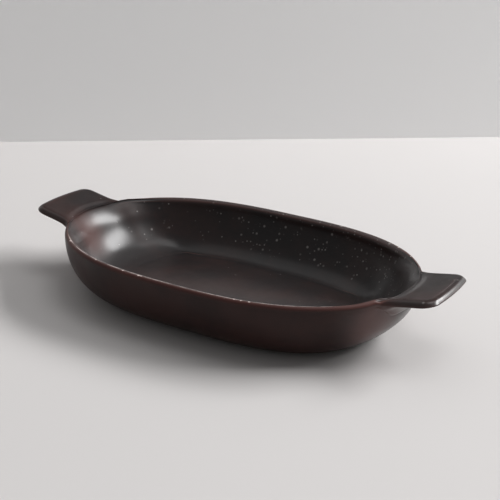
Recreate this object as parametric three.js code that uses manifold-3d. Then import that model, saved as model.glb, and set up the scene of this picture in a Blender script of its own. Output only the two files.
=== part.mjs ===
// Oval eared dish in dark glazed stoneware: a low oval bowl on a shallow oval foot ring, with a flat
// tab-shaped ear luted to the rim at each end. Millimetres, +Z up, the long axis along X, and the
// origin under the middle of the dish on the surface that it stands on.
import * as THREE from "three";
import { mergeVertices } from "three/addons/utils/BufferGeometryUtils.js";
import Module from "manifold-3d";

// Bowl, measured over the outside of the rim
const BODY_LENGTH = 251;
const BODY_WIDTH = 157.4;
const RIM_HEIGHT = 41; // crest of the rim at the middle of the long sides
const RIM_RISE = 1.1; // how much higher the rim is at the two ends
const SHOULDER_RISE = 0.9; // how much further the rim sweeps up to meet an ear
const SHOULDER_LENGTH = 16; // how far beside an ear that sweep begins
const END_FULLNESS = 2.8; // exponent of x in the oval: above 2 squares the ends a little
const SIDE_FULLNESS = 1.9; // exponent of y in the oval: near 2 keeps the long sides slack

// Lip, from the outside over the crest to the inside
const LIP_THICKNESS = 6;
const LIP_OUTER_RADIUS = 2;
const LIP_INNER_RADIUS = 3.5;

// Underside of the bowl and the foot ring below it
const FOOT_HEIGHT = 2;
const BASE_LENGTH = 180; // flat underside that the wall springs from
const BASE_WIDTH = 108;
const BASE_FULLNESS = 3.2;
const FOOT_INSET = 7; // from the edge of the flat underside to the outside of the foot ring
const FOOT_RING_WIDTH = 6.5;
const FOOT_ROUNDING = 0.6;

// Inside of the bowl
const FLOOR_THICKNESS = 6;
const FLOOR_LENGTH = 184; // flat part of the floor, which the wall sweeps up from
const FLOOR_WIDTH = 92;
const FLOOR_FULLNESS = 2.6;

// Curve of each wall: how quickly it turns up, and how square its lower corner is
const OUTER_TURN = 2.3;
const OUTER_CORNER = 1.53;
const INNER_TURN = 1.34;
const INNER_CORNER = 2.15;

// Ears
const EAR_REACH = 26.5; // from the outside of the rim to the tip
const EAR_WIDTH = 57.8;
const EAR_THICKNESS = 3.8;
const EAR_TOP_EDGE_WIDTH = 4.2; // each edge falls away in a quarter of an ellipse
const EAR_TOP_EDGE_DEPTH = 2.1;
const EAR_LOWER_EDGE_WIDTH = 5;
const EAR_LOWER_EDGE_DEPTH = 1.5;
const EAR_TILT = 10.4; // degrees that the ear climbs outwards
const EAR_CORNER_RADIUS = 9.5;
const EAR_ROOT_RADIUS = 8; // fillet in plan, between the ear's side and the rim
const EAR_TIP_BOW = 1.1; // how far the tip edge bulges in its middle
const COVE_REACH = 11; // the hollow under the ear runs this far out along it
const COVE_DROP = 8.5; // and this far down the wall
const COVE_CURVE = 2; // exponent of the hollow: higher is tighter against the wall
const COVE_FADE_LENGTH = 15; // stretch, up to the end of each root fillet, that the drop fades over
const LUTING_GAP = 0.3; // the seam that the slip fills between an ear and the wall

// Fineness of the facets
const STATIONS = 108; // points around the oval
const WALL_RINGS = 12;
const LIP_STEPS = 4;
const EDGE_STEPS = 4; // rings round each rounded edge of an ear
const CORNER_STEPS = 6; // points round each corner of an ear and each root fillet
const SIDE_STEPS = 5; // points along each straight side of an ear
const TIP_STEPS = 5; // points along each half of its tip

const HALF_LENGTH = BODY_LENGTH / 2;
const HALF_WIDTH = BODY_WIDTH / 2;
const FLOOR_HEIGHT = FOOT_HEIGHT + FLOOR_THICKNESS;
const EAR_SLOPE = Math.tan(THREE.MathUtils.degToRad(EAR_TILT));

const wasm = await Module();
wasm.setup();

// A point of the oval |x/a|^n + |y/b|^m = 1 at a turning parameter.
function ovalPoint(a, b, n, m, turn) {
  const c = Math.cos(turn);
  const s = Math.sin(turn);
  return new THREE.Vector2(
    a * Math.sign(c) * Math.abs(c) ** (2 / n),
    b * Math.sign(s) * Math.abs(s) ** (2 / m),
  );
}

// The parameters that space the stations evenly along the rim, starting at the tip of the right end.
function evenTurns(count) {
  const fine = 3600;
  const turns = [0];
  const lengths = [0];
  let last = ovalPoint(HALF_LENGTH, HALF_WIDTH, END_FULLNESS, SIDE_FULLNESS, 0);
  for (let i = 1; i <= fine; i++) {
    const turn = (i / fine) * 2 * Math.PI;
    const point = ovalPoint(HALF_LENGTH, HALF_WIDTH, END_FULLNESS, SIDE_FULLNESS, turn);
    turns.push(turn);
    lengths.push(lengths[i - 1] + point.distanceTo(last));
    last = point;
  }
  const even = [];
  let i = 0;
  for (let k = 0; k < count; k++) {
    const target = (k / count) * lengths[fine];
    while (lengths[i + 1] < target) i++;
    const share = (target - lengths[i]) / (lengths[i + 1] - lengths[i]);
    even.push(turns[i] + share * (turns[i + 1] - turns[i]));
  }
  return even;
}

const turns = evenTurns(STATIONS);

function oval(length, width, endFullness, sideFullness) {
  return turns.map((turn) => ovalPoint(length / 2, width / 2, endFullness, sideFullness, turn));
}

// A closed outline moved inwards along its own normals, or outwards where the distance is negative.
function inset(outline, distance) {
  return outline.map((point, i) => {
    const before = outline[(i + outline.length - 1) % outline.length];
    const after = outline[(i + 1) % outline.length];
    const along = after.clone().sub(before).normalize();
    return new THREE.Vector2(point.x - along.y * distance, point.y + along.x * distance);
  });
}

function blend(from, to, share) {
  return from.map((point, i) => point.clone().lerp(to[i], share));
}

const rimOutline = oval(BODY_LENGTH, BODY_WIDTH, END_FULLNESS, SIDE_FULLNESS);
const baseOutline = oval(BASE_LENGTH, BASE_WIDTH, BASE_FULLNESS, BASE_FULLNESS);
const floorOutline = oval(FLOOR_LENGTH, FLOOR_WIDTH, FLOOR_FULLNESS, FLOOR_FULLNESS);

// How far the rim at a point is above the rim at the middle of the long sides.
function rimLift(point) {
  const reach = Math.min(1, Math.abs(point.x) / HALF_LENGTH);
  const beside = Math.abs(point.y) - EAR_WIDTH / 2;
  const shoulder = 1 - THREE.MathUtils.smoothstep(beside, 0, SHOULDER_LENGTH);
  return RIM_RISE * reach * reach + (reach > 0.5 ? SHOULDER_RISE * shoulder : 0);
}

// The wall follows the rim upwards, the more the higher it is. The floor and the base stay flat.
function lift(point, z) {
  const share = Math.max(0, (z - FLOOR_HEIGHT) / (RIM_HEIGHT - FLOOR_HEIGHT));
  return z + rimLift(point) * share ** 1.5;
}

function ringOfPlan(outline, z) {
  return outline.map((point) => new THREE.Vector3(point.x, point.y, z));
}

// Places an outline at a height as one ring of the bowl, with the lift towards the ends.
function ringAt(outline, z) {
  return outline.map((point) => new THREE.Vector3(point.x, point.y, lift(point, z)));
}

// How far out a wall has swept at a share of its height: 0 at its foot, 1 at the lip.
function sweep(share, turn, corner) {
  return (1 - (1 - share) ** turn) ** (1 / corner);
}

// Joins rings into a closed skin: each ring to the next, with a fan over the first and the last.
function loft(rings) {
  const around = rings[0].length;
  const points = rings.flat();
  const faces = [];
  for (let r = 0; r + 1 < rings.length; r++) {
    for (let i = 0; i < around; i++) {
      const j = (i + 1) % around;
      const [a, b, c, d] = [r * around + i, r * around + j, (r + 1) * around + j, (r + 1) * around + i];
      faces.push(a, b, c, a, c, d);
    }
  }
  const centreOf = (ring) => ring.reduce((sum, p) => sum.add(p), new THREE.Vector3()).divideScalar(around);
  const first = points.push(centreOf(rings[0])) - 1;
  const last = points.push(centreOf(rings[rings.length - 1])) - 1;
  const top = (rings.length - 1) * around;
  for (let i = 0; i < around; i++) {
    const j = (i + 1) % around;
    faces.push(first, j, i, last, top + i, top + j);
  }
  return geometryOf(points, faces);
}

function geometryOf(points, faces) {
  const geometry = new THREE.BufferGeometry().setFromPoints(points);
  geometry.setIndex(faces);
  return geometry;
}

// Heights up the outer wall, closer together low down where it turns up.
function wallShares(count) {
  return Array.from({ length: count }, (_, i) => ((i + 1) / count) ** 1.7);
}

// The outside of the bowl from its flat underside to the crest of the lip, grown by a distance.
function outerRings(grow) {
  const wallTop = RIM_HEIGHT - LIP_OUTER_RADIUS;
  const rim = inset(rimOutline, -grow);
  const base = inset(baseOutline, -grow);
  const rings = [ringAt(base, FOOT_HEIGHT - grow)];
  for (const share of wallShares(WALL_RINGS)) {
    const outline = blend(base, rim, sweep(share, OUTER_TURN, OUTER_CORNER));
    rings.push(ringAt(outline, FOOT_HEIGHT - grow + share * (wallTop - FOOT_HEIGHT + grow)));
  }
  for (let i = 1; i <= LIP_STEPS; i++) {
    const angle = (i / LIP_STEPS) * (Math.PI / 2);
    const radius = LIP_OUTER_RADIUS + grow;
    rings.push(ringAt(inset(rim, radius * (1 - Math.cos(angle))), wallTop + radius * Math.sin(angle)));
  }
  return rings;
}

// The inside of the bowl, from the crest of the lip down to the flat floor.
function innerRings() {
  const wallTop = RIM_HEIGHT - LIP_INNER_RADIUS;
  const mouth = inset(rimOutline, LIP_THICKNESS);
  const rings = [];
  for (let i = 0; i <= LIP_STEPS; i++) {
    const angle = (i / LIP_STEPS) * (Math.PI / 2);
    const inwards = LIP_THICKNESS - LIP_INNER_RADIUS * (1 - Math.sin(angle));
    rings.push(ringAt(inset(rimOutline, inwards), wallTop + LIP_INNER_RADIUS * Math.cos(angle)));
  }
  for (const share of wallShares(WALL_RINGS).reverse().slice(1)) {
    const outline = blend(floorOutline, mouth, sweep(share, INNER_TURN, INNER_CORNER));
    rings.push(ringAt(outline, FLOOR_HEIGHT + share * (wallTop - FLOOR_HEIGHT)));
  }
  rings.push(ringAt(floorOutline, FLOOR_HEIGHT));
  return rings;
}

const bowlGeometry = loft([...outerRings(0), ...innerRings()]);

// A ring of one profile swept round an oval: the profile gives each point's inset and height.
function sweptRing(outline, profile) {
  const rings = profile.map(([inwards, z]) => ringOfPlan(inset(outline, inwards), z));
  const around = outline.length;
  const faces = [];
  for (let r = 0; r < rings.length; r++) {
    const next = ((r + 1) % rings.length) * around;
    for (let i = 0; i < around; i++) {
      const j = (i + 1) % around;
      faces.push(r * around + i, r * around + j, next + j, r * around + i, next + j, next + i);
    }
  }
  return geometryOf(rings.flat(), faces);
}

// The foot ring: a flat-bottomed coil with its two lower edges eased.
const footOutline = inset(baseOutline, FOOT_INSET);
const footGeometry = sweptRing(footOutline, [
  [FOOT_ROUNDING, 0],
  [0, FOOT_ROUNDING],
  [0, FOOT_HEIGHT],
  [FOOT_RING_WIDTH, FOOT_HEIGHT],
  [FOOT_RING_WIDTH, FOOT_ROUNDING],
  [FOOT_RING_WIDTH - FOOT_ROUNDING, 0],
]);

function solidOf(geometry) {
  const merged = mergeVertices(geometry, 1e-4);
  return new wasm.Manifold(
    new wasm.Mesh({
      numProp: 3,
      vertProperties: new Float32Array(merged.attributes.position.array),
      triVerts: new Uint32Array(merged.index.array),
    }),
  );
}

function geometryFrom(solid) {
  const mesh = solid.getMesh();
  const geometry = new THREE.BufferGeometry();
  geometry.setAttribute("position", new THREE.BufferAttribute(mesh.vertProperties, mesh.numProp));
  geometry.setIndex(new THREE.BufferAttribute(mesh.triVerts, 1));
  return geometry;
}

// Where the outside of the rim is at a distance from the long axis, and how squarely it faces the end.
function rimX(y) {
  return HALF_LENGTH * (1 - Math.abs(y / HALF_WIDTH) ** SIDE_FULLNESS) ** (1 / END_FULLNESS);
}

function rimFacing(y) {
  const step = 0.01;
  return Math.cos(Math.atan((rimX(y + step) - rimX(y - step)) / (2 * step)));
}

// Where the plan fillet at an ear's root sits: its centre is one radius outside both the ear's side
// and the rim, so it is found by walking in along the side until the rim is one radius away.
function findRootFillet() {
  const y = EAR_WIDTH / 2 + EAR_ROOT_RADIUS;
  const rim = Array.from({ length: 1000 }, (_, i) => {
    const rimY = (y * i) / 999;
    return new THREE.Vector2(rimX(rimY), rimY);
  });
  const nearest = (centre) => rim.reduce((a, b) => (b.distanceTo(centre) < a.distanceTo(centre) ? b : a));
  let [near, far] = [rimX(y), HALF_LENGTH + EAR_REACH];
  for (let i = 0; i < 40; i++) {
    const centre = new THREE.Vector2((near + far) / 2, y);
    if (nearest(centre).distanceTo(centre) < EAR_ROOT_RADIUS) near = centre.x;
    else far = centre.x;
  }
  const centre = new THREE.Vector2((near + far) / 2, y);
  const touch = nearest(centre);
  return { centre, start: Math.atan2(touch.y - centre.y, touch.x - centre.x), end: touch.y };
}

const rootFillet = findRootFillet();

// Points of an arc in plan, from one angle to another.
function arc(centre, radius, from, to, steps) {
  return Array.from({ length: steps + 1 }, (_, i) => {
    const angle = from + ((to - from) * i) / steps;
    return new THREE.Vector2(centre.x + radius * Math.cos(angle), centre.y + radius * Math.sin(angle));
  });
}

// Half of the right ear's plan, at a distance inside its edge. The side starts inside the wall, runs
// round the root fillet and along to the middle of the corner; the tip goes on to the long axis.
function earEdges(inwards) {
  const tipX = HALF_LENGTH + EAR_REACH - inwards;
  const half = EAR_WIDTH / 2 - inwards;
  const radius = EAR_CORNER_RADIUS - inwards;
  const corner = new THREE.Vector2(tipX - EAR_TIP_BOW - radius, half - radius);
  const root = arc(rootFillet.centre, EAR_ROOT_RADIUS + inwards, rootFillet.start, -Math.PI / 2, CORNER_STEPS);
  const along = new THREE.Vector2(Math.sin(rootFillet.start), -Math.cos(rootFillet.start));
  const beyond = root[0].clone().addScaledVector(along, EAR_ROOT_RADIUS / 4);
  const straight = Array.from({ length: SIDE_STEPS }, (_, i) =>
    root[CORNER_STEPS].clone().lerp(new THREE.Vector2(corner.x, half), (i + 1) / (SIDE_STEPS + 1)),
  );
  const turn = arc(corner, radius, Math.PI / 2, 0, CORNER_STEPS);
  const middle = CORNER_STEPS / 2;
  const bow = Array.from({ length: TIP_STEPS }, (_, i) => {
    const share = 1 - (i + 1) / TIP_STEPS;
    return new THREE.Vector2(tipX - EAR_TIP_BOW * share ** 2, corner.y * share);
  });
  return {
    side: [new THREE.Vector2(rimX(beyond.y) - LIP_THICKNESS / 2, beyond.y), beyond, ...root, ...straight,
      ...turn.slice(0, middle + 1)],
    tip: [...turn.slice(middle), ...bow],
  };
}

// The ear's plan as a patch of points, [along][across], stretched between its four edges: the two
// sides, the tip, and a line inside the wall that runs parallel to the rim.
function earPatch(inwards) {
  const { side, tip } = earEdges(inwards);
  const mirrored = (points) => points.map((p) => new THREE.Vector2(p.x, -p.y));
  const far = [...mirrored(tip), ...tip.slice(0, -1).reverse()];
  const across = far.map((p) => (p.y - far[0].y) / (far[far.length - 1].y - far[0].y));
  const near = across.map((t) => {
    const y = side[0].y * (2 * t - 1);
    return new THREE.Vector2(rimX(y) - LIP_THICKNESS / 2, y);
  });
  const lower = mirrored(side);
  const length = side[side.length - 1].x - side[0].x;
  return side.map((high, i) => {
    const s = (high.x - side[0].x) / length;
    return across.map((t, j) => {
      const between = lower[i].clone().lerp(high, t);
      const through = near[j].clone().lerp(far[j], s);
      const start = near[0].clone().lerp(near[near.length - 1], t);
      const end = far[0].clone().lerp(far[far.length - 1], t);
      return between.add(through).sub(start.lerp(end, s));
    });
  });
}

// The ear's upper surface leaves the crest of the rim at the rim's own height and climbs outwards.
function earTop(point) {
  const crest = HALF_LENGTH - LIP_OUTER_RADIUS;
  return RIM_HEIGHT + rimLift(point) + EAR_SLOPE * (point.x - crest);
}

// How far the hollow under the ear drops below its underside, from nothing out along the ear to
// the whole drop where it runs into the wall. It fades where the root fillet runs out along the rim.
function cove(point) {
  const fromWall = (point.x - rimX(point.y)) * rimFacing(point.y);
  const toEnd = (rootFillet.end - Math.abs(point.y)) / COVE_FADE_LENGTH;
  const fade = THREE.MathUtils.smoothstep(toEnd, 0, 1);
  return COVE_DROP * fade * Math.min(1, Math.max(0, 1 - fromWall / COVE_REACH)) ** COVE_CURVE;
}

// The border of a patch as a closed ring, anticlockwise seen from above.
function border(patch) {
  const last = patch.length - 1;
  const lower = patch.map((row) => row[0]);
  const upper = patch.map((row) => row[row.length - 1]).reverse();
  return [...lower.slice(0, -1), ...patch[last].slice(0, -1), ...upper.slice(0, -1), ...patch[0].slice(1).reverse()];
}

// The ear before it is cut to the wall: an upper and a lower patch, joined round their borders by
// the rings of the two rounded edges.
function earBlank() {
  const angles = Array.from({ length: EDGE_STEPS + 1 }, (_, i) => (i / EDGE_STEPS) * (Math.PI / 2));
  const place = (patch, depth, hollow) =>
    patch.map((row) => row.map((p) => new THREE.Vector3(p.x, p.y, earTop(p) - depth - hollow * cove(p))));
  const upper = angles.map((angle) => {
    const patch = earPatch(EAR_TOP_EDGE_WIDTH * (1 - Math.cos(angle)));
    return place(patch, EAR_TOP_EDGE_DEPTH * (1 - Math.sin(angle)), 0);
  });
  const lower = angles.map((angle) => {
    const patch = earPatch(EAR_LOWER_EDGE_WIDTH * (1 - Math.cos(angle)));
    return place(patch, EAR_THICKNESS - EAR_LOWER_EDGE_DEPTH * (1 - Math.sin(angle)), 1);
  });
  const corners = [];
  const quad = (a, b, c, d) => corners.push(a, b, c, a, c, d);
  const top = upper[EDGE_STEPS];
  const bottom = lower[EDGE_STEPS];
  for (let i = 0; i + 1 < top.length; i++) {
    for (let j = 0; j + 1 < top[i].length; j++) {
      quad(top[i][j], top[i + 1][j], top[i + 1][j + 1], top[i][j + 1]);
      quad(bottom[i][j], bottom[i][j + 1], bottom[i + 1][j + 1], bottom[i + 1][j]);
    }
  }
  const rings = [...lower.reverse(), ...upper].map(border);
  for (let r = 0; r + 1 < rings.length; r++) {
    for (let i = 0; i < rings[r].length; i++) {
      const j = (i + 1) % rings[r].length;
      quad(rings[r][i], rings[r][j], rings[r + 1][j], rings[r + 1][i]);
    }
  }
  return solidOf(new THREE.BufferGeometry().setFromPoints(corners));
}

const rightEar = earBlank().subtract(solidOf(loft(outerRings(LUTING_GAP))));

const stoneware = (colour, roughness) =>
  new THREE.MeshStandardMaterial({ color: new THREE.Color(colour), roughness, metalness: 0 });

function named(name, geometry, material) {
  const mesh = new THREE.Mesh(geometry, material);
  mesh.name = name;
  return mesh;
}

const glaze = stoneware("#2a1f1e", 0.45);
const bareClay = stoneware("#6b4a3a", 0.9);

const dish = new THREE.Group();
dish.add(named("bowl", bowlGeometry, glaze));
dish.add(named("foot_ring", footGeometry, bareClay));
const rightEarMesh = named("ear_right", geometryFrom(rightEar), glaze);
const leftEarMesh = named("ear_left", geometryFrom(rightEar), glaze);
leftEarMesh.rotation.z = Math.PI;
dish.add(rightEarMesh, leftEarMesh);

export default dish;
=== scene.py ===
# %% [markdown]
# # An oval eared dish in dark glazed stoneware
#
# The dish is a low oval bowl of stoneware. A flat ear is luted to each end, a low foot ring stands
# under it, and one iron-brown glaze runs over bowl and ears alike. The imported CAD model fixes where
# everything is. This lesson makes the fine surface that the eye sees, in metres and in the same
# frame, and then its glaze, the light and the camera.

# %% Load the fixed frame
import math

import bmesh
import bpy
import numpy as np
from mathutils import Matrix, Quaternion, Vector
from mathutils.kdtree import KDTree


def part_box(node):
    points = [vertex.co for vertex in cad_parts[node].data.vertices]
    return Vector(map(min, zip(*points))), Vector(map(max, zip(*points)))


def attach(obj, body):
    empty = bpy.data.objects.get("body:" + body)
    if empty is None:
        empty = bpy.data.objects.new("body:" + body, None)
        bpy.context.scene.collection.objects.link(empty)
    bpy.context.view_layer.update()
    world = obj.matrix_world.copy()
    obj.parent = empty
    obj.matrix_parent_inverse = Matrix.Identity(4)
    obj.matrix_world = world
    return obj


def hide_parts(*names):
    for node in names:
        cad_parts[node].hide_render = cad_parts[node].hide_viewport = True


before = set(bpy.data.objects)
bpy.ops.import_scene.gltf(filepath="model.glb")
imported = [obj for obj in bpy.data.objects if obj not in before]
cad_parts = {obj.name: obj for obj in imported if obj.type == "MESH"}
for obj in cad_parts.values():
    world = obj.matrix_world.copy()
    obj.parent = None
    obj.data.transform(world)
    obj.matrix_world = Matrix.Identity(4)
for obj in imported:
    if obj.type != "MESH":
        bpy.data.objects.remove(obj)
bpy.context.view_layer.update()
MM = 0.001
print("CAD nodes:", sorted(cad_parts))

# %% [markdown]
# ## The camera
#
# The camera comes first, because everything after it is judged through it. A long lens from a little
# above the rim keeps the two ears nearly the same size. It looks at a point and leans by a small
# roll, as a camera held by hand does.

# %% Set up the camera
SENSOR = 36
LENS = 79.95
CAMERA_PLACE = Vector((358.7, -578.2, 300.7)) * MM
CAMERA_AIM = Vector((-17.5, 46.1, 20.0)) * MM
CAMERA_ROLL = math.radians(1.40)

camera_data = bpy.data.cameras.new("camera")
camera_data.lens = LENS
camera_data.sensor_width = SENSOR
camera_data.clip_start = 10 * MM
camera = bpy.data.objects.new("camera", camera_data)
bpy.context.collection.objects.link(camera)
camera.location = CAMERA_PLACE
camera.rotation_mode = "QUATERNION"
looking = (CAMERA_AIM - CAMERA_PLACE).to_track_quat("-Z", "Y")
CAMERA_TURN = looking @ Quaternion((0, 0, 1), CAMERA_ROLL)
camera.rotation_quaternion = CAMERA_TURN
bpy.context.scene.camera = camera
print("camera distance in mm:", round((CAMERA_AIM - CAMERA_PLACE).length / MM))

# %% [markdown]
# ## A small language for materials
#
# A material is arithmetic on fields: a mask times a colour, one noise added to another. Wiring that
# by hand is slow to read, so a small class wraps a node's output socket and lets Python's operators
# add the Math nodes. Every other node comes from one method that takes its type, its settings and
# the values of its inputs.

# %% Fields and materials
class Field:
    """One output socket of a material's node tree, which can be added, multiplied and so on."""

    def __init__(self, tree, socket):
        self.tree = tree
        self.socket = socket

    def math(self, operation, first, second):
        return self.tree.node("ShaderNodeMath", {"operation": operation}, {0: first, 1: second})

    def __add__(self, other):
        return self.math("ADD", self, other)

    def __radd__(self, other):
        return self.math("ADD", other, self)

    def __sub__(self, other):
        return self.math("SUBTRACT", self, other)

    def __rsub__(self, other):
        return self.math("SUBTRACT", other, self)

    def __mul__(self, other):
        return self.math("MULTIPLY", self, other)

    def between(self, low, high):
        """0 below low, 1 above high, and a smooth rise from one to the other."""
        return self.tree.node(
            "ShaderNodeMapRange",
            {"interpolation_type": "SMOOTHSTEP"},
            {"Value": self, "From Min": low, "From Max": high},
        )

    def band(self, centre, half_width):
        """1 at the centre of a band of values and 0 from half a width away."""
        away = self - centre
        return 1 - (away * away).between(0, half_width**2)


class Finish:
    """A new material with one Principled shader, whose sockets are set by name."""

    def __init__(self, name, **constants):
        self.material = bpy.data.materials.new(name)
        self.material.use_nodes = True
        self.nodes = self.material.node_tree.nodes
        self.links = self.material.node_tree.links
        self.shader = self.nodes["Principled BSDF"]
        for socket, value in constants.items():
            self.shader.inputs[socket.replace("_", " ")].default_value = value

    def node(self, kind, settings=None, inputs=None, output=0):
        node = self.nodes.new(kind)
        for name, value in (settings or {}).items():
            setattr(node, name, value)
        for name, value in (inputs or {}).items():
            self.feed(node.inputs[name], value)
        return Field(self, node.outputs[output])

    def feed(self, socket, value):
        if isinstance(value, Field):
            self.links.new(value.socket, socket)
        elif socket.type == "RGBA":
            socket.default_value = (*value, 1)
        else:
            socket.default_value = value

    def set(self, **fields):
        for socket, value in fields.items():
            self.feed(self.shader.inputs[socket.replace("_", " ")], value)

    def place(self):
        return self.node("ShaderNodeTexCoord", output="Object")

    def along(self, axis):
        """The place along X, Y or Z, in metres."""
        return self.node("ShaderNodeSeparateXYZ", {}, {"Vector": self.place()}, output=axis)

    def attribute(self, name):
        return self.node("ShaderNodeAttribute", {"attribute_name": name}, output="Fac")

    def noise(self, size, detail=2.0, roughness=0.5):
        """Soft noise about 0.5, with features of about a size in metres."""
        inputs = {"Vector": self.place(), "Scale": 1 / size, "Detail": detail, "Roughness": roughness}
        return self.node("ShaderNodeTexNoise", {}, inputs)

    def cells(self, size):
        """Scattered cells of about a size: how far the nearest middle is, and two random numbers."""
        cell = self.nodes.new("ShaderNodeTexVoronoi")
        self.feed(cell.inputs["Vector"], self.place())
        self.feed(cell.inputs["Scale"], 1 / size)
        picks = self.nodes.new("ShaderNodeSeparateColor")
        self.links.new(cell.outputs["Color"], picks.inputs["Color"])
        return Field(self, cell.outputs["Distance"]) * size, *(Field(self, o) for o in picks.outputs[:2])

    def distance_from(self, point):
        """The distance from a point of the object, in metres."""
        settings = {"operation": "DISTANCE"}
        return self.node("ShaderNodeVectorMath", settings, {0: self.place(), 1: point}, output="Value")

    def blend(self, amount, first, second):
        """Colour from first, where the amount is 0, to second, where it is 1."""
        node = self.nodes.new("ShaderNodeMix")
        node.data_type = "RGBA"
        self.feed(node.inputs["Factor"], amount)
        self.feed(next(i for i in node.inputs if i.name == "A" and i.type == "RGBA"), first)
        self.feed(next(i for i in node.inputs if i.name == "B" and i.type == "RGBA"), second)
        return Field(self, next(o for o in node.outputs if o.type == "RGBA"))

    def bump(self, height, strength, distance):
        inputs = {"Height": height, "Strength": strength, "Distance": distance}
        return self.node("ShaderNodeBump", {}, inputs)


def colour(code):
    """A colour as it is seen, such as 3b2a26, as the linear numbers that a shader takes."""
    shares = [int(code[i : i + 2], 16) / 255 for i in (0, 2, 4)]
    return tuple(s / 12.92 if s <= 0.04045 else ((s + 0.055) / 1.055) ** 2.4 for s in shares)


print("a mid grey, 808080, is", round(colour("808080")[0], 3), "in linear numbers")

# %% [markdown]
# ## The stage
#
# The dish stands on a pale table in front of a pale wall. Both are plain, so that nothing competes
# with the dish. The wall is seen from its front only: a view from behind looks through it. It throws
# no shadow either, because the window's light would have to come through it.

# %% Table and wall
TABLE_SIDE = 6.0
WALL_WIDTH = 2.4
WALL_HEIGHT = 0.45
WALL_FOOT = Vector((-207.8, 356.6, 0)) * MM
WALL_TURN = math.radians(38.4)

table_finish = Finish("table_cloth", Roughness=0.9)
table_finish.shader.inputs["Specular IOR Level"].default_value = 0.1
table_finish.set(Base_Color=colour("d7d4d3"))
bpy.ops.mesh.primitive_plane_add(size=TABLE_SIDE)
table = bpy.context.object
table.name = "table"
table.data.materials.append(table_finish.material)

wall_finish = Finish("wall_paint", Roughness=0.95)
wall_finish.shader.inputs["Specular IOR Level"].default_value = 0.1
wall_finish.set(Base_Color=colour("fcfcfc"))
seen_through = wall_finish.nodes.new("ShaderNodeBsdfTransparent")
facing = wall_finish.node("ShaderNodeNewGeometry", output="Backfacing")
two_sides = wall_finish.nodes.new("ShaderNodeMixShader")
wall_finish.feed(two_sides.inputs[0], facing)
wall_finish.links.new(wall_finish.shader.outputs[0], two_sides.inputs[1])
wall_finish.links.new(seen_through.outputs[0], two_sides.inputs[2])
wall_finish.links.new(two_sides.outputs[0], wall_finish.nodes["Material Output"].inputs[0])

bpy.ops.mesh.primitive_plane_add(size=1)
wall = bpy.context.object
wall.name = "wall"
wall.scale = (WALL_WIDTH, WALL_HEIGHT, 1)
wall.rotation_euler = (math.radians(90), 0, WALL_TURN)
wall.location = WALL_FOOT + Vector((0, 0, WALL_HEIGHT / 2))
wall.data.materials.append(wall_finish.material)
wall.visible_shadow = False
print("wall foot in mm:", [round(value / MM) for value in WALL_FOOT])

# %% [markdown]
# ## The light
#
# The light is a broad window behind the dish and to its right. It throws the soft shadows and draws
# both highlights on the end wall. Two weak and wide lamps, one overhead and one from the other side,
# and a dim world stand for the light that the room throws back.

# %% Lamps and world
def lamp(name, bearing, elevation, distance, width, height, watts):
    """A soft rectangle of light that faces the dish. Bearing 0 is behind it and 90 to its right."""
    data = bpy.data.lights.new(name, "AREA")
    data.shape = "RECTANGLE"
    data.size = width
    data.size_y = height
    data.energy = watts
    made = bpy.data.objects.new(name, data)
    bpy.context.collection.objects.link(made)
    b, e = math.radians(bearing), math.radians(elevation)
    towards = Vector((math.sin(b) * math.cos(e), math.cos(b) * math.cos(e), math.sin(e)))
    made.location = towards * distance
    made.rotation_euler = towards.to_track_quat("Z", "Y").to_euler()
    made.visible_camera = False


lamp("window", bearing=44, elevation=37.5, distance=3.4, width=2.3, height=1.0, watts=124)
lamp("ceiling", bearing=60, elevation=75, distance=3, width=1.5, height=1.5, watts=12)
lamp("room", bearing=312, elevation=60, distance=3, width=3.2, height=3.2, watts=11)
world = bpy.data.worlds.new("room")
world.use_nodes = True
world.node_tree.nodes["Background"].inputs["Color"].default_value = (*colour("ffffff"), 1)
world.node_tree.nodes["Background"].inputs["Strength"].default_value = 0.2
bpy.context.scene.world = world
bpy.context.scene.view_settings.view_transform = "Standard"

# %% [markdown]
# ## The plan of the bowl
#
# Seen from above the rim is a fuller oval than an ellipse. It has the formula of a superellipse,
# with one exponent along the dish and another across it, and so have the flat underside and the flat
# floor. Points of all three are found with the same turning angle, so that a wall can be blended
# from the lower outline to the rim. Its overall sizes are read from the CAD nodes.

# %% Outlines of the bowl
bowl_low, bowl_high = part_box("bowl")
ear_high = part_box("ear_right")[1]
HALF_LENGTH = bowl_high.x
HALF_WIDTH = bowl_high.y
FOOT_HEIGHT = bowl_low.z
RIM_HEIGHT = 41 * MM
END_FULLNESS = 2.8
SIDE_FULLNESS = 1.9
BASE_HALVES = (90 * MM, 54 * MM)
BASE_FULLNESS = 3.2
FLOOR_HALVES = (92 * MM, 46 * MM)
FLOOR_FULLNESS = 2.6
FLOOR_HEIGHT = FOOT_HEIGHT + 6 * MM


def oval(turn, halves, end_fullness, side_fullness):
    c, s = math.cos(turn), math.sin(turn)
    x = math.copysign(halves[0] * abs(c) ** (2 / end_fullness), c)
    y = math.copysign(halves[1] * abs(s) ** (2 / side_fullness), s)
    return Vector((x, y, 0))


def rim_point(turn, inwards=0.0):
    """A point of the rim's outside in plan, or of a line that runs inside it at a distance."""
    p = oval(turn, (HALF_LENGTH, HALF_WIDTH), END_FULLNESS, SIDE_FULLNESS)
    slope_x = END_FULLNESS / HALF_LENGTH * abs(p.x / HALF_LENGTH) ** (END_FULLNESS - 1)
    slope_y = SIDE_FULLNESS / HALF_WIDTH * abs(p.y / HALF_WIDTH) ** (SIDE_FULLNESS - 1)
    outwards = Vector((math.copysign(slope_x, p.x), math.copysign(slope_y, p.y), 0)).normalized()
    return p - outwards * inwards


def rim_x(y):
    return HALF_LENGTH * (1 - abs(y / HALF_WIDTH) ** SIDE_FULLNESS) ** (1 / END_FULLNESS)


def smoothstep(value):
    value = min(1, max(0, value))
    return value * value * (3 - 2 * value)


print("rim half length and width in mm:", round(HALF_LENGTH / MM, 1), round(HALF_WIDTH / MM, 1))

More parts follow.
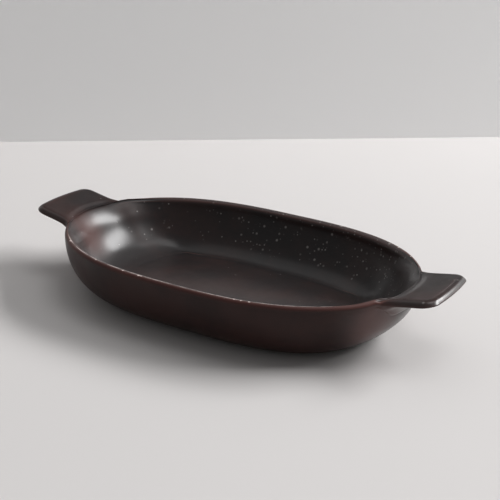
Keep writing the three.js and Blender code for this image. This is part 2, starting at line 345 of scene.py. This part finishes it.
# %% [markdown]
# ## The ears' plan
#
# An ear is a tab with rounded corners. Where its side meets the rim it widens again through a hollow
# fillet. The fillet's centre is one radius outside both the side and the rim, and it is found by
# halving the distance along the side until it is.

# %% Plan of the right ear
EAR_TIP = ear_high.x
EAR_HALF_WIDTH = 28.5 * MM
EAR_SLOPE = math.tan(math.radians(10.4))
EAR_CORNER = 9.5 * MM
EAR_ROOT = 8 * MM
EAR_BOW = 1.1 * MM
CREST_INSET = 2 * MM


def rim_distance(p):
    """How far a point in plan is from the right end of the rim, and where it is nearest."""
    line = [Vector((rim_x(p.y * i / 400), p.y * i / 400, 0)) for i in range(401)]
    nearest = min(line, key=lambda q: (q - p).length)
    return (nearest - p).length, nearest


def find_root_fillet():
    y = EAR_HALF_WIDTH + EAR_ROOT
    near, far = rim_x(y), EAR_TIP
    for _ in range(24):
        centre = Vector(((near + far) / 2, y, 0))
        distance, touch = rim_distance(centre)
        if distance < EAR_ROOT:
            near = centre.x
        else:
            far = centre.x
    return centre, touch


ROOT_CENTRE, ROOT_TOUCH = find_root_fillet()
ROOT_START = math.atan2(ROOT_TOUCH.y - ROOT_CENTRE.y, ROOT_TOUCH.x - ROOT_CENTRE.x)
CORNER_X = EAR_TIP - EAR_BOW - EAR_CORNER
CORNER_Y = EAR_HALF_WIDTH - EAR_CORNER


def turned(centre, radius, angle):
    return centre + Vector((math.cos(angle), math.sin(angle), 0)) * radius


def ear_side(stage, inwards):
    """A point of the ear's side in plan, from the rim at stage 0 to the middle of its corner at 3."""
    if stage <= 1:
        angle = ROOT_START + (-math.pi / 2 - ROOT_START) * stage
        return turned(ROOT_CENTRE, EAR_ROOT + inwards, angle)
    if stage <= 2:
        x = ROOT_CENTRE.x + (CORNER_X - ROOT_CENTRE.x) * (stage - 1)
        return Vector((x, EAR_HALF_WIDTH - inwards, 0))
    angle = math.pi / 2 - math.pi / 4 * (stage - 2)
    return turned(Vector((CORNER_X, CORNER_Y, 0)), EAR_CORNER - inwards, angle)


def ear_tip_x(y, inwards):
    """Where the ear's tip is at a distance from the long axis."""
    if abs(y) <= CORNER_Y:
        return EAR_TIP - inwards - EAR_BOW * (y / CORNER_Y) ** 2
    return CORNER_X + math.sqrt(max(0, (EAR_CORNER - inwards) ** 2 - (abs(y) - CORNER_Y) ** 2))


print("root fillet touches the rim at y, mm:", round(ROOT_TOUCH.y / MM, 1))

# %% [markdown]
# ## Heights
#
# The rim is a little higher at the ends than at the sides, and it sweeps up once more beside each
# ear. An ear's top climbs outwards from the rim. Where ear and bowl meet there is no upright lip: the
# ear's top rolls over into the bowl, so the crest of the rim sinks a little there and lies further
# out. Under the ear a hollow, the cove, leads down into the wall, and fades where the root fillets
# run out.

# %% Heights of the rim, the ears and the cove
RIM_RISE = 1.1 * MM
SHOULDER_RISE = 0.9 * MM
SHOULDER_LENGTH = 16 * MM
COVE_REACH = 11 * MM
COVE_DROP = 8.5 * MM
COVE_FADE_LENGTH = 15 * MM
END_CREST = 0.4 * MM
END_CREST_DROP = 1.5 * MM
ROLL_REACH = 8 * MM
ROLL_ON_EAR = 0.85
ROLL_FULL = 15 * MM
ROLL_NONE = 31 * MM


def shoulder(p):
    """1 across the ear and beside it down to 0 where the rim runs level again."""
    at_end = abs(p.x) > HALF_LENGTH / 2
    return at_end * (1 - smoothstep((abs(p.y) - EAR_HALF_WIDTH) / SHOULDER_LENGTH))


def rim_lift(p):
    reach = min(1, abs(p.x) / HALF_LENGTH)
    return RIM_RISE * reach**2 + SHOULDER_RISE * shoulder(p)


def lifted(p, z):
    share = max(0, (z - FLOOR_HEIGHT) / (RIM_HEIGHT - FLOOR_HEIGHT))
    return Vector((p.x, p.y, z + rim_lift(p) * share**1.5))


def ear_top(p):
    return RIM_HEIGHT + rim_lift(p) + EAR_SLOPE * (abs(p.x) - (HALF_LENGTH - CREST_INSET))


def across_ear(y, length):
    """1 in the ear's middle, and down to 0 over a length up to where its root fillets end."""
    return smoothstep((ROOT_TOUCH.y - abs(y)) / length)


def nearness(p, reach):
    """1 at the rim and down to 0 at a reach outside it."""
    step = 0.01 * MM
    y = abs(p.y)
    slope = (rim_x(y + step) - rim_x(y - step)) / (2 * step)
    from_wall = (abs(p.x) - rim_x(y)) * math.cos(math.atan(slope))
    return min(1, max(0, 1 - from_wall / reach))


def cove(p):
    return COVE_DROP * across_ear(p.y, COVE_FADE_LENGTH) * nearness(p, COVE_REACH) ** 2


def ear_roll(p):
    """How far the top of an ear has rolled down towards the bowl."""
    across = smoothstep((ROLL_NONE - abs(p.y)) / (ROLL_NONE - ROLL_FULL))
    return END_CREST_DROP * ROLL_ON_EAR * across * nearness(p, ROLL_REACH) ** 2


print("ear top at its tip, mm:", round(ear_top(Vector((EAR_TIP, 0, 0))) / MM, 1))

# %% [markdown]
# ## The profile of the wall
#
# From the middle of the underside the skin runs out to the foot, sweeps up the outer wall, goes over
# the lip and down the inner wall to the floor. That path is cut into rows, close together where the
# skin turns and far apart where it is nearly flat. Around the dish it is cut into stations, which
# stand closer beside the ears.
#
# Below an ear the inner wall has a shape of its own, which the plain inner wall turns into on the way
# round the corner. It leans inwards by an even amount, and three more terms are added to the lean: a
# foot that turns into the floor, a roll at the top and a swelling between the two.

# %% Rows and stations
LIP_OUTER_RADIUS = 2 * MM
LIP_THICKNESS = 6 * MM
LIP_INNER_RADIUS = 3.5 * MM
OUTER_TURN = 2.3
OUTER_CORNER = 1.53
INNER_TURN = 1.34
INNER_CORNER = 2.15
END_LEAN = 25 * MM
END_FOOT = 18 * MM
END_FOOT_START = 0.7
END_FOOT_FADE = 6
END_ROLL = 3.6 * MM
END_ROLL_SHARPNESS = 8
END_SWELL = 2.1 * MM
END_SWELL_SHARE = 0.62
END_SWELL_SPREAD = 0.13
END_NARROWING = 0.06
END_WALL_FULL = 26 * MM
END_WALL_NONE = 71 * MM
INNER_LIP_SHARE = 0.08
OUTER_HEIGHTS = (2.5, 3.6, 5.6, 8.6, 12.6, 17.4, 22.8, 28.4, 33.0, 36.4, 37.6, 39.0)
EAR_DIPS = {22.8: 2.5, 28.4: 4.4, 33.0: 5.5, 36.4: 8.0}
INNER_SHARES = (0.93, 0.84, 0.74, 0.62, 0.5, 0.38, 0.27, 0.18, 0.1, 0.05, 0.02, 0.006, 0)
EAR_COLUMNS = (0, 5, 10, 15, 20, 24.5, 28.5)
SIDE_STATIONS = 17
SIDE_GROWTH = 1.3


def rim_turn(y):
    """The turning angle at which the rim is at a distance from the long axis."""
    return math.asin((y / HALF_WIDTH) ** (SIDE_FULLNESS / 2))


def stations():
    """Turning angles round the whole dish: the ear's columns, then growing steps along the side."""
    quarter = [rim_turn(y * MM) for y in EAR_COLUMNS]
    start = rim_turn(ROOT_TOUCH.y)
    fine = [start + (math.pi / 2 - start) * i / 2000 for i in range(2001)]
    lengths = [0]
    for before, after in zip(fine, fine[1:]):
        lengths.append(lengths[-1] + (rim_point(after) - rim_point(before)).length)
    k = 0
    for i in range(SIDE_STATIONS + 1):
        while k < 2000 and lengths[k] < lengths[-1] * (i / SIDE_STATIONS) ** SIDE_GROWTH:
            k += 1
        quarter.append(fine[k])
    half = quarter + [math.pi - turn for turn in reversed(quarter[1:-1])]
    return half + [math.pi] + [math.pi + turn for turn in half[1:]]


TURNS = stations()
AROUND = len(TURNS)
EAR_REACH_COLUMNS = len(EAR_COLUMNS)
print("stations:", AROUND)


def swept(lower, upper, share, turn_rate, corner):
    sweep = (1 - (1 - share) ** turn_rate) ** (1 / corner)
    return lower.lerp(upper, sweep)


def outer_wall(turn, height):
    """The outer wall at a height, with the rows under an ear dipping to make room for its cove."""
    rim = rim_point(turn)
    fade = across_ear(rim.y, COVE_FADE_LENGTH) * (abs(rim.x) > HALF_LENGTH / 2)
    z = (height - EAR_DIPS.get(height, 0) * fade) * MM
    share = (z - FOOT_HEIGHT) / (RIM_HEIGHT - LIP_OUTER_RADIUS - FOOT_HEIGHT)
    base = oval(turn, BASE_HALVES, BASE_FULLNESS, BASE_FULLNESS)
    return lifted(swept(base, rim, share, OUTER_TURN, OUTER_CORNER), z)


def outer_lip(turn, angle):
    inwards = LIP_OUTER_RADIUS * (1 - math.cos(angle))
    z = RIM_HEIGHT - LIP_OUTER_RADIUS * (1 - math.sin(angle))
    return lifted(rim_point(turn, inwards), z)


def at_ear(p, full, none):
    """1 up to a distance from the long axis at either end, and down to 0 at a greater distance."""
    return (abs(p.x) > HALF_LENGTH / 2) * smoothstep((none - abs(p.y)) / (none - full))


def crest(turn):
    rim = rim_point(turn)
    roll = at_ear(rim, ROLL_FULL, ROLL_NONE)
    p = rim_point(turn, CREST_INSET + (END_CREST - CREST_INSET) * roll)
    z = RIM_HEIGHT + rim_lift(p)
    return Vector((p.x, p.y, z + roll * (ear_top(p) - END_CREST_DROP - z)))


def end_wall(turn, share):
    """The end wall below an ear, a share of the way from the floor up to the crest."""
    lean = END_LEAN * (1 - share)
    foot = END_FOOT * (1 - share**END_FOOT_START) ** END_FOOT_FADE
    roll = END_ROLL * (1 - share**END_ROLL_SHARPNESS)
    swell = END_SWELL * (1 - math.tanh((share - END_SWELL_SHARE) / END_SWELL_SPREAD)) / 2
    run = END_CREST + lean + foot + roll - swell
    rim = rim_point(turn)
    top = crest(turn).z
    x = rim.x - math.copysign(run, rim.x)
    y = rim.y * (1 - END_NARROWING * min(1, run / END_LEAN))
    return Vector((x, y, FLOOR_HEIGHT + share * (top - FLOOR_HEIGHT)))


def towards_end(turn, plain, end_share):
    """A point of the inside, blended from the plain wall to the end wall below an ear."""
    across = at_ear(rim_point(turn), END_WALL_FULL, END_WALL_NONE)
    return plain.lerp(end_wall(turn, end_share), across) if across else plain


def inner_lip(turn, share):
    """A point of the lip's inner rounding: the crest at share 0, and the top of the wall at 1."""
    angle = math.pi / 2 * share
    p = rim_point(turn, LIP_THICKNESS - LIP_INNER_RADIUS * (1 - math.sin(angle)))
    p = lifted(p, RIM_HEIGHT - LIP_INNER_RADIUS * (1 - math.cos(angle)))
    return towards_end(turn, p, 1 - INNER_LIP_SHARE * share)


def inner_wall(turn, share):
    floor = oval(turn, FLOOR_HALVES, FLOOR_FULLNESS, FLOOR_FULLNESS)
    p = swept(floor, rim_point(turn, LIP_THICKNESS), share, INNER_TURN, INNER_CORNER)
    z = FLOOR_HEIGHT + share * (RIM_HEIGHT - LIP_INNER_RADIUS - FLOOR_HEIGHT)
    return towards_end(turn, lifted(p, z), (1 - INNER_LIP_SHARE) * share)


def flat_ring(halves, fullness, share, z):
    def place(turn):
        p = oval(turn, halves, fullness, fullness) * share
        return Vector((p.x, p.y, z))

    return place


ROWS = [flat_ring(BASE_HALVES, BASE_FULLNESS, share, FOOT_HEIGHT) for share in (0.3, 0.6, 0.85, 1)]
ROWS += [lambda turn, height=height: outer_wall(turn, height) for height in OUTER_HEIGHTS]
ROWS += [lambda turn: outer_lip(turn, math.radians(45)), crest]
CREST_ROW = len(ROWS) - 1
ROWS += [lambda turn, share=share: inner_lip(turn, share) for share in (1 / 3, 2 / 3, 1)]
ROWS += [lambda turn, share=share: inner_wall(turn, share) for share in INNER_SHARES]
ROWS += [flat_ring(FLOOR_HALVES, FLOOR_FULLNESS, share, FLOOR_HEIGHT) for share in (0.78, 0.68, 0.5, 0.27)]
NOSE_ROWS = 4
print("rows:", len(ROWS), "of which the crest is", CREST_ROW)

# %% [markdown]
# ## Drawing the skin up, row by row
#
# The mesh starts as a circle and is drawn on by extruding its edge once for each row. The operator
# makes the new points and faces, and each new point is then set on the formula for its row. Two
# whole-number layers on the points remember row and station. Extruded points inherit them, so they
# also say later which faces the ears grow from.

# %% A circle drawn out into rows
def new_circle(name, count):
    """A circle in edit mode, whose points know their row, their station and the ears' step."""
    bpy.ops.object.select_all(action="DESELECT")
    bpy.ops.mesh.primitive_circle_add(vertices=count, radius=BASE_HALVES[1], fill_type="NOTHING")
    piece = bpy.context.object
    piece.name = name
    bpy.ops.object.mode_set(mode="EDIT")
    bpy.ops.mesh.select_mode(type="VERT")
    mesh = bmesh.from_edit_mesh(piece.data)
    for layer in ("row", "station", "step"):
        mesh.verts.layers.int.new(layer)
    mesh, _, station_layer, _ = edited(piece)
    for v in mesh.verts:
        v[station_layer] = round(math.atan2(v.co.y, v.co.x) / (2 * math.pi) * count) % count
    return piece


def edited(piece):
    """The mesh that is being edited, its row and station layers, and its selected points."""
    mesh = bmesh.from_edit_mesh(piece.data)
    layers = mesh.verts.layers.int
    return mesh, layers["row"], layers["station"], [v for v in mesh.verts if v.select]


def draw_rows(piece, rows, turns):
    """Extrude the selected circle once for each row, and set each row's points on its formula."""
    for row, place in enumerate(rows):
        if row:
            bpy.ops.mesh.extrude_region_move()
        mesh, row_layer, station_layer, new_points = edited(piece)
        for v in new_points:
            v[row_layer] = row
            v.co = place(turns[v[station_layer]])
        bmesh.update_edit_mesh(piece.data)


# %% Turn a circle into the bowl's skin
skin = new_circle("glazed_skin", AROUND)
draw_rows(skin, ROWS, TURNS)
print("points after the last row:", len(bmesh.from_edit_mesh(skin.data).verts))

# %% [markdown]
# The two openings that are left, in the middle of the underside and of the floor, are closed by one
# more extrusion each that is drawn together in its centre. Both places are flat, so the fan of
# triangles round such a pole doesn't show.

# %% Close the underside and the floor
for row in (len(ROWS) - 1, 0):
    bpy.ops.mesh.select_all(action="DESELECT")
    mesh, row_layer, station_layer, _ = edited(skin)
    for edge in mesh.edges:
        if all(v[row_layer] == row for v in edge.verts):
            edge.select = True
    bmesh.update_edit_mesh(skin.data)
    bpy.ops.mesh.extrude_region_move()
    bpy.ops.mesh.merge(type="CENTER")
bpy.ops.mesh.select_all(action="SELECT")
bpy.ops.mesh.normals_make_consistent(inside=False)
mesh = bmesh.from_edit_mesh(skin.data)
print("closed:", all(edge.is_manifold for edge in mesh.edges))

# %% [markdown]
# ## Growing the ears
#
# The faces between the crest and the foot of the cove, across each end, are extruded outwards step
# by step, both ends at once. At every step the columns spread between the two sides of the ear. The
# rows become the ear's rounded edge: the crest its top face, the lowest row its underside, and the
# three between them its nose. Towards the wall the nose takes the shape of the lip, so the lip flows
# into the ear's edge without a break.

# %% Extrude the ears
EAR_STAGES = (1 / 3, 2 / 3, 1, 1.22, 1.6, 2, 2.5, 3)
LIP_EDGE = ((2.0, 0), (0.6, 0.6), (0, 2.0), (0.05, 3.4), (0.15, 4.6))
EAR_EDGE = ((5.0, 0), (2.6, 0.6), (0.6, 2.4), (0.2, 3.6), (2.4, 4.2))
EDGE_RAMP = 3


def column_of(station):
    """How many stations a point is from the middle of its end: negative on the near side."""
    return (station + AROUND // 4) % (AROUND // 2) - AROUND // 4


def edge_shape(line, step):
    """Inset and depth of a line of the ear's edge: the lip's at the first step, then its own."""
    share = min(1, (step - 1) / EDGE_RAMP)
    mixed = [a + (b - a) * share for a, b in zip(LIP_EDGE[line], EAR_EDGE[line])]
    return mixed[0] * MM, mixed[1] * MM


def ear_point(column, line, step):
    """A point of the right ear. The lines count down from the top face round the nose."""
    inwards, depth = edge_shape(line, step)
    stage = EAR_STAGES[step - 1]
    side = ear_side(stage, inwards)
    share = rim_point(TURNS[abs(column)]).y / ROOT_TOUCH.y
    y = side.y * share
    out = (step / len(EAR_STAGES)) ** 2
    root_curve = rim_x(y) - rim_x(side.y)
    tip_curve = ear_tip_x(y, inwards) - ear_tip_x(side.y, inwards)
    p = Vector((side.x + (1 - out) * root_curve + out * tip_curve, math.copysign(y, column), 0))
    hollow = cove(p) * {3: 0.35, 4: 1}.get(line, 0)
    rolled = ear_roll(p) if line == 0 else 0
    p.z = ear_top(p) - depth - hollow - rolled
    return p


bpy.ops.mesh.select_all(action="DESELECT")
mesh, row_layer, station_layer, _ = edited(skin)
for face in mesh.faces:
    rows = [v[row_layer] for v in face.verts]
    columns = [column_of(v[station_layer]) for v in face.verts]
    on_band = min(rows) >= CREST_ROW - NOSE_ROWS and max(rows) <= CREST_ROW
    face.select = on_band and max(abs(c) for c in columns) <= EAR_REACH_COLUMNS
bmesh.update_edit_mesh(skin.data)

for step in range(1, len(EAR_STAGES) + 1):
    bpy.ops.mesh.extrude_region_move()
    mesh, row_layer, station_layer, new_points = edited(skin)
    step_layer = mesh.verts.layers.int["step"]
    for v in new_points:
        v[step_layer] = step
        p = ear_point(column_of(v[station_layer]), CREST_ROW - v[row_layer], step)
        right = AROUND // 4 >= v[station_layer] or v[station_layer] >= AROUND * 3 // 4
        v.co = p if right else Vector((-p.x, -p.y, p.z))
    bmesh.update_edit_mesh(skin.data)
bpy.ops.mesh.select_all(action="SELECT")
bpy.ops.mesh.normals_make_consistent(inside=False)
mesh = bmesh.from_edit_mesh(skin.data)
print("points with the ears:", len(mesh.verts), "closed:", all(e.is_manifold for e in mesh.edges))
bpy.ops.object.mode_set(mode="OBJECT")

# %% [markdown]
# ## From cage to smooth skin
#
# Subdivision rounds the cage, but it also draws the surface inwards, most where it bends tightly, as
# round the lip. So the cage is pushed out until the smooth surface passes through the points that
# the formulas gave: measure how far each point falls short, move its cage point by that, and repeat.

# %% Fit the cage and subdivide
PUSHES = 8
LEVELS = 2
smoothing = skin.modifiers.new("smoothing", "SUBSURF")
smoothing.levels = 1
smoothing.render_levels = 1
wanted = [v.co.copy() for v in skin.data.vertices]
for _ in range(PUSHES):
    smooth = skin.evaluated_get(bpy.context.evaluated_depsgraph_get()).data
    misses = [want - smooth.vertices[i].co for i, want in enumerate(wanted)]
    for v, miss in zip(skin.data.vertices, misses):
        v.co += miss
    skin.data.update()
    print("largest miss in mm:", round(max(miss.length for miss in misses) / MM, 3))
smoothing.levels = LEVELS
smoothing.render_levels = LEVELS
bpy.ops.object.modifier_apply(modifier=smoothing.name)
bpy.ops.object.shade_smooth()
print("skin triangles:", sum(len(p.vertices) - 2 for p in skin.data.polygons))

# %% [markdown]
# ## Edges and hollows
#
# Melting glaze creeps off sharp edges and gathers in hollows, so its colour follows the form. Three
# attributes tell the material about it: how sharply the skin bends outwards, how far a point is from
# the rim's outline, and how much it faces upwards. The bend is the mean, over the edges at a point,
# of how far the neighbours drop below its tangent plane, evened out over a few rounds.

# %% Measure the skin for the glaze
EVENING_ROUNDS = 3

points = len(skin.data.vertices)
places = np.empty(points * 3, dtype=np.float32)
facings = np.empty(points * 3, dtype=np.float32)
pairs = np.empty(len(skin.data.edges) * 2, dtype=np.int32)
skin.data.vertices.foreach_get("co", places)
skin.data.vertices.foreach_get("normal", facings)
skin.data.edges.foreach_get("vertices", pairs)
places, facings, pairs = places.reshape(-1, 3), facings.reshape(-1, 3), pairs.reshape(-1, 2)
ends = np.concatenate((pairs[:, 0], pairs[:, 1]))
others = np.concatenate((pairs[:, 1], pairs[:, 0]))
neighbours = np.bincount(ends, minlength=points)


def mean_over_neighbours(values):
    """For each point, the mean of a value given for each of its edges."""
    return np.bincount(ends, weights=values, minlength=points) / neighbours


steps = places[ends] - places[others]
drops = np.sum(steps * facings[ends], axis=1)
bend = mean_over_neighbours(2 * drops / np.maximum(np.sum(steps * steps, axis=1), (0.05 * MM) ** 2))
for _ in range(EVENING_ROUNDS):
    bend = (bend + mean_over_neighbours(bend[others])) / 2


def keep_attribute(name, values):
    skin.data.attributes.new(name, "FLOAT", "POINT").data.foreach_set("value", values.astype(np.float32))


outline = KDTree(2000)
for i in range(2000):
    outline.insert(rim_point(2 * math.pi * i / 2000), i)
outline.balance()
flat = [Vector((x, y, 0)) for x, y, _ in places.tolist()]
inside = [abs(p.x / HALF_LENGTH) ** END_FULLNESS + abs(p.y / HALF_WIDTH) ** SIDE_FULLNESS < 1 for p in flat]
from_rim = np.array([outline.find(p)[2] * (1 if within else -1) for p, within in zip(flat, inside)])
keep_attribute("bend", bend)
keep_attribute("from_rim", from_rim)
keep_attribute("facing_up", facings[:, 2])
print("sharpest edge has a radius of about, mm:", round(1 / np.percentile(bend, 99.5) / MM, 1))

# %% [markdown]
# ## The glaze
#
# An iron glaze is dark brown, nearly black where it lies thick and redder where it thins over an
# edge. It is redder too in one place on each end wall, as if the dish had been held there when it was
# glazed. A pale hair line runs along the crest of the front rim, and there are a few chips on the rim,
# in front and behind. Pale crystals are scattered over the back of the bowl. The surface is satin, with
# a glassier coat inside the bowl, on the ears' edges and on the right flank. Everything is made from
# fields, so it holds from all sides.

# %% Glaze colour
BLACK_BROWN = colour("171011")
IRON_BROWN = colour("321e1b")
THIN_RED = colour("583834")
SPECK_GREY = colour("a09b98")
BODY_PALE = colour("cfc1bb")
HOLDS = (Vector((-116, -15, 27)) * MM, Vector((117, -30, 24)) * MM)

glaze = Finish("iron_glaze", IOR=1.3, Coat_IOR=1.5, Coat_Roughness=0.27)
bend_field = glaze.attribute("bend")
rim_field = glaze.attribute("from_rim")
up_field = glaze.attribute("facing_up")
cloud = glaze.noise(38 * MM, detail=3).between(0.36, 0.66)
mottle = glaze.noise(4 * MM, detail=4, roughness=0.65)
inner = up_field.between(-0.15, 0.4)
thin = (bend_field + mottle * 60 - 30).between(60, 260)
pooled = inner * (1 - bend_field.between(-60, 10)) * 0.4

thickness = cloud * 0.45 + inner * 0.35 + pooled + (mottle - 0.5) * 0.5
base = glaze.blend(thickness.between(0, 1), IRON_BROWN, BLACK_BROWN)
on_ear = 1 - rim_field.between(-2 * MM, 0)
held = len(HOLDS) - sum(glaze.distance_from(spot).between(5 * MM, 25 * MM) for spot in HOLDS)
reddened = thin * (0.8 - on_ear * 0.6) + held * 0.8
base = glaze.blend(reddened, base, THIN_RED)
print("places where the dish was held:", len(HOLDS))

# %% Crystals in the glaze
back = glaze.along("Y").between(0, 45 * MM) * glaze.along("Z").between(10 * MM, 24 * MM)
to_the_right = glaze.along("X").between(-100 * MM, 60 * MM) * 0.7 + 0.3
drift = glaze.noise(26 * MM, detail=2).between(0.3, 0.65) * 0.6 + 0.4
plenty = inner * (back * to_the_right * drift * 0.5 + 0.02)


def crystals(size, radius, share):
    """Soft round specks, one in each cell that is picked, of uneven size and strength."""
    away, pick, strength = glaze.cells(size)
    chosen = (plenty * share - pick).between(0, 0.02)
    return (1 - away.between(radius * 0.15, radius)) * chosen * (strength * 0.7 + 0.3)


specks = crystals(size=4.2 * MM, radius=1.5 * MM, share=1.3)
specks = specks + crystals(size=2.8 * MM, radius=0.95 * MM, share=1.3)
base = glaze.blend(specks.between(0, 1) * 0.62, base, SPECK_GREY)
print("glaze nodes with the crystals:", len(glaze.nodes))

# %% [markdown]
# Each chip is given by the pixel where it is seen in the photo and by its radius in millimetres. The
# camera then tells which point of the rim's crest is seen there.

# %% Places of the chips
PHOTO_SIDE = 500
CREST_STEPS = 7200
CHIPS_IN_PHOTO = (
    (70.8, 240.6, 1.2),
    (96, 259, 0.9),
    (123, 270, 0.9),
    (138.5, 275.5, 1.1),
    (141, 276, 0.7),
    (234, 298, 0.7),
    (241, 300, 0.7),
    (249, 302, 1.0),
    (397.5, 249, 0.8),
    (411, 256, 0.8),
)


def rim_crest(turn):
    p = rim_point(turn, CREST_INSET)
    return Vector((p.x, p.y, RIM_HEIGHT + rim_lift(p)))


def seen_at(p):
    """Where the camera sees a point, in pixels of the photo from its upper left corner."""
    ahead = CAMERA_TURN.inverted() @ (p - CAMERA_PLACE)
    zoom = PHOTO_SIDE * LENS / SENSOR / -ahead.z
    return Vector((PHOTO_SIDE / 2 + ahead.x * zoom, PHOTO_SIDE / 2 - ahead.y * zoom))


def crest_seen_at(x, y):
    """The point of the rim's crest that the camera sees nearest to a pixel of the photo."""
    return min(crest_line, key=lambda p: (seen_at(p) - Vector((x, y))).length)


crest_line = [rim_crest(2 * math.pi * i / CREST_STEPS) for i in range(CREST_STEPS)]
chips = [(crest_seen_at(x, y), radius * MM) for x, y, radius in CHIPS_IN_PHOTO]
print("chips on the rim at x and y, mm:", [(round(p.x / MM, 1), round(p.y / MM, 1)) for p, _ in chips])

# %% Pale rim line and chips
PALE_LINE_INSET = 2.5 * MM
PALE_LINE_HALF_WIDTH = 0.45 * MM
# A pale hair line along the crest of the front rim only, broken up by noise.
line_strength = glaze.noise(9 * MM, detail=3, roughness=0.7).between(0.34, 0.62) * 0.75 + 0.2
front = 1 - glaze.along("Y").between(-52 * MM, -38 * MM)
pale_rim_line = rim_field.band(PALE_LINE_INSET, PALE_LINE_HALF_WIDTH) * up_field.between(0.6, 0.85) * line_strength * front
ragged = (glaze.noise(0.8 * MM, detail=3) - 0.5) * 1.2 * MM
chipped = 0
for middle, radius in chips:
    away = glaze.distance_from(middle)
    chipped = (1 - (away + ragged).between(radius * 0.4, radius)) + chipped
# This mask holds the pale rim line and the chips together; both take the body's pale colour, more roughness
# and a lower relief.
bare = (pale_rim_line * 0.8 + chipped).between(0, 1)
glaze.set(Base_Color=glaze.blend(bare, base, BODY_PALE))
print("glaze nodes with the chips:", len(glaze.nodes))

# %% Satin surface
COAT_INSIDE = 0.68
COAT_ON_EAR_EDGES = 0.9
COAT_ON_RIGHT_FLANK = 0.75

unevenness = glaze.noise(14 * MM, detail=3).between(0.3, 0.7)
glaze.set(Roughness=unevenness * 0.06 + specks * 0.1 + bare * 0.35 + 0.38)
in_bowl = inner * rim_field.between(0.5 * MM, 4 * MM)
ear_edge = on_ear * (1 - up_field.between(0.88, 0.97)) * up_field.between(0.1, 0.4)
right_flank = (1 - up_field.between(-0.1, 0.1)) * glaze.along("X").between(95 * MM, 120 * MM)
coat = in_bowl * COAT_INSIDE + ear_edge * COAT_ON_EAR_EDGES + right_flank * COAT_ON_RIGHT_FLANK
glaze.set(Coat_Weight=coat)
pits = glaze.noise(0.7 * MM, detail=3, roughness=0.6)
swell = glaze.noise(6 * MM, detail=2)
relief = pits * 0.25 + swell + specks * 0.3 - bare * 0.8
glaze.set(Normal=glaze.bump(relief, strength=0.25, distance=0.12 * MM))
skin.data.materials.clear()
skin.data.materials.append(glaze.material)
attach(skin, "root")
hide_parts("bowl", "ear_left", "ear_right")
print("glaze nodes:", len(glaze.nodes))

# %% [markdown]
# ## The foot ring
#
# The dish stands on a low ring of bare clay. It is drawn as a potter would trim it, flat underneath
# with both lower edges eased: a circle of points is extruded round the ring's section and closed by a
# bridge back to its start. It reaches a little into the bowl, so that no gap shows between the two.

# %% Make the foot ring
FOOT_INSET = 7 * MM
FOOT_WIDTH = 6.5 * MM
FOOT_EASE = 0.6 * MM
FOOT_TOP = FOOT_HEIGHT + 0.5 * MM
FOOT_TURNS = [2 * math.pi * i / 128 for i in range(128)]
FOOT_SECTION = (
    (FOOT_EASE * 2, 0),
    (FOOT_EASE, 0),
    (FOOT_EASE * 0.3, FOOT_EASE * 0.3),
    (0, FOOT_EASE),
    (0, FOOT_TOP),
    (FOOT_WIDTH, FOOT_TOP),
    (FOOT_WIDTH, FOOT_EASE),
    (FOOT_WIDTH - FOOT_EASE * 0.3, FOOT_EASE * 0.3),
    (FOOT_WIDTH - FOOT_EASE, 0),
    (FOOT_WIDTH - FOOT_EASE * 2, 0),
)


def foot_row(inwards, z):
    def place(turn):
        p = oval(turn, BASE_HALVES, BASE_FULLNESS, BASE_FULLNESS)
        slopes = [abs(v / half) ** (BASE_FULLNESS - 1) / half for v, half in zip(p.xy, BASE_HALVES)]
        outwards = Vector((math.copysign(slopes[0], p.x), math.copysign(slopes[1], p.y), 0)).normalized()
        return p - outwards * (FOOT_INSET + inwards) + Vector((0, 0, z))

    return place


foot = new_circle("foot", len(FOOT_TURNS))
draw_rows(foot, [foot_row(inwards, z) for inwards, z in FOOT_SECTION], FOOT_TURNS)
mesh, row_layer, _, _ = edited(foot)
for edge in mesh.edges:
    rows = {v[row_layer] for v in edge.verts}
    edge.select = rows == {0} or rows == {len(FOOT_SECTION) - 1}
bmesh.update_edit_mesh(foot.data)
bpy.ops.mesh.select_mode(type="EDGE")
bpy.ops.mesh.bridge_edge_loops()
bpy.ops.mesh.select_all(action="SELECT")
bpy.ops.mesh.normals_make_consistent(inside=False)
print("foot closed:", all(e.is_manifold for e in bmesh.from_edit_mesh(foot.data).edges))
bpy.ops.object.mode_set(mode="OBJECT")
rounding = foot.modifiers.new("rounding", "SUBSURF")
rounding.levels = LEVELS
rounding.render_levels = LEVELS
bpy.ops.object.modifier_apply(modifier=rounding.name)
bpy.ops.object.shade_smooth()

# %% Bare clay
clay = Finish("bare_clay")
grain = clay.noise(0.8 * MM, detail=4, roughness=0.7)
toast = clay.noise(30 * MM, detail=3).between(0.35, 0.65)
body = clay.blend(grain.between(0.3, 0.7), colour("6b4c3f"), colour("8a6856"))
clay.set(Base_Color=clay.blend(toast * 0.5, body, colour("54392f")))
clay.set(Roughness=grain * 0.15 + 0.78)
clay.set(Normal=clay.bump(grain, strength=0.5, distance=0.15 * MM))
foot.data.materials.clear()
foot.data.materials.append(clay.material)
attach(foot, "root")
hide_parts("foot_ring")
print("foot triangles:", sum(len(p.vertices) - 2 for p in foot.data.polygons))
